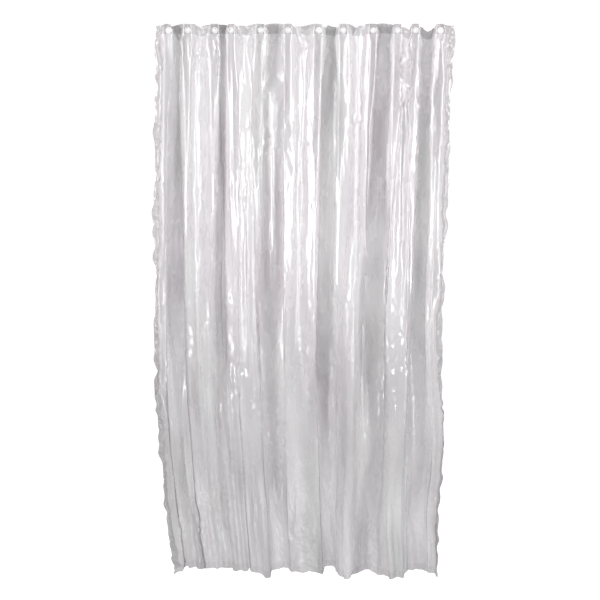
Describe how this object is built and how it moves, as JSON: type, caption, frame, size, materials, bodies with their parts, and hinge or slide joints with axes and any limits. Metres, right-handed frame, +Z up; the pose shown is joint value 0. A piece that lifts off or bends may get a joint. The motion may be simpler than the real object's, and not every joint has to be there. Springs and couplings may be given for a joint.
{
  "type": "shower curtain",
  "caption": "Clear vinyl shower curtain hanging in deep folds from a row of two-part plastic grommets, with a welded header tape and hems.",
  "frame": {"origin": "on the straight line through the hook holes, halfway between the first and the last grommet", "axes": "+Z up, +X along the curtain rod, -Y out of the front of the curtain"},
  "size_m": [0.9242, 0.1514, 1.829],
  "materials": {
    "clear_vinyl": "clear, slightly frosted vinyl film with a wet gloss",
    "welded_vinyl": "the same clear vinyl, doubled and welded, so it looks denser",
    "grommet_plastic": "moulded white plastic, satin to gloss"
  },
  "bodies": {
    "curtain": {"curtain_film": "clear_vinyl", "header_tape": "welded_vinyl", "left_hem": "welded_vinyl", "right_hem": "welded_vinyl", "bottom_hem": "welded_vinyl", "grommet_01": "grommet_plastic", "washer_01": "grommet_plastic"},
    "hook_point_02": {"grommet_02": "grommet_plastic", "washer_02": "grommet_plastic"},
    "hook_point_03": {"grommet_03": "grommet_plastic", "washer_03": "grommet_plastic"},
    "hook_point_04": {"grommet_04": "grommet_plastic", "washer_04": "grommet_plastic"},
    "hook_point_05": {"grommet_05": "grommet_plastic", "washer_05": "grommet_plastic"},
    "hook_point_06": {"grommet_06": "grommet_plastic", "washer_06": "grommet_plastic"},
    "hook_point_07": {"grommet_07": "grommet_plastic", "washer_07": "grommet_plastic"},
    "hook_point_08": {"grommet_08": "grommet_plastic", "washer_08": "grommet_plastic"},
    "hook_point_09": {"grommet_09": "grommet_plastic", "washer_09": "grommet_plastic"},
    "hook_point_10": {"grommet_10": "grommet_plastic", "washer_10": "grommet_plastic"},
    "hook_point_11": {"grommet_11": "grommet_plastic", "washer_11": "grommet_plastic"},
    "hook_point_12": {"grommet_12": "grommet_plastic", "washer_12": "grommet_plastic"}
  },
  "joints": [
    {"name": "gather", "type": "slide", "parent": "curtain", "child": "hook_point_12", "axis": [1, 0, 0], "range_m": [-0.4524, 0], "deforming": ["curtain_film", "header_tape", "left_hem", "right_hem", "bottom_hem"]},
    {"name": "gather_02", "type": "slide", "parent": "curtain", "child": "hook_point_02", "axis": [1, 0, 0], "range_m": [-0.033, 0.0005]},
    {"name": "gather_03", "type": "slide", "parent": "curtain", "child": "hook_point_03", "axis": [1, 0, 0], "range_m": [-0.0775, 0.0005]},
    {"name": "gather_04", "type": "slide", "parent": "curtain", "child": "hook_point_04", "axis": [1, 0, 0], "range_m": [-0.1045, 0.0005]},
    {"name": "gather_05", "type": "slide", "parent": "curtain", "child": "hook_point_05", "axis": [1, 0, 0], "range_m": [-0.154, 0.0005]},
    {"name": "gather_06", "type": "slide", "parent": "curtain", "child": "hook_point_06", "axis": [1, 0, 0], "range_m": [-0.1996, 0.0005]},
    {"name": "gather_07", "type": "slide", "parent": "curtain", "child": "hook_point_07", "axis": [1, 0, 0], "range_m": [-0.2499, 0.0005]},
    {"name": "gather_08", "type": "slide", "parent": "curtain", "child": "hook_point_08", "axis": [1, 0, 0], "range_m": [-0.2915, 0.0005]},
    {"name": "gather_09", "type": "slide", "parent": "curtain", "child": "hook_point_09", "axis": [1, 0, 0], "range_m": [-0.3407, 0.0005]},
    {"name": "gather_10", "type": "slide", "parent": "curtain", "child": "hook_point_10", "axis": [1, 0, 0], "range_m": [-0.3819, 0.0005]},
    {"name": "gather_11", "type": "slide", "parent": "curtain", "child": "hook_point_11", "axis": [1, 0, 0], "range_m": [-0.4105, 0.0005]}
  ],
  "couplings": [
    {"joint": "gather_02", "follows": "gather", "ratio": 0.07173},
    {"joint": "gather_03", "follows": "gather", "ratio": 0.17021},
    {"joint": "gather_04", "follows": "gather", "ratio": 0.22979},
    {"joint": "gather_05", "follows": "gather", "ratio": 0.33921},
    {"joint": "gather_06", "follows": "gather", "ratio": 0.44012},
    {"joint": "gather_07", "follows": "gather", "ratio": 0.55137},
    {"joint": "gather_08", "follows": "gather", "ratio": 0.64316},
    {"joint": "gather_09", "follows": "gather", "ratio": 0.75198},
    {"joint": "gather_10", "follows": "gather", "ratio": 0.84316},
    {"joint": "gather_11", "follows": "gather", "ratio": 0.90638}
  ]
}
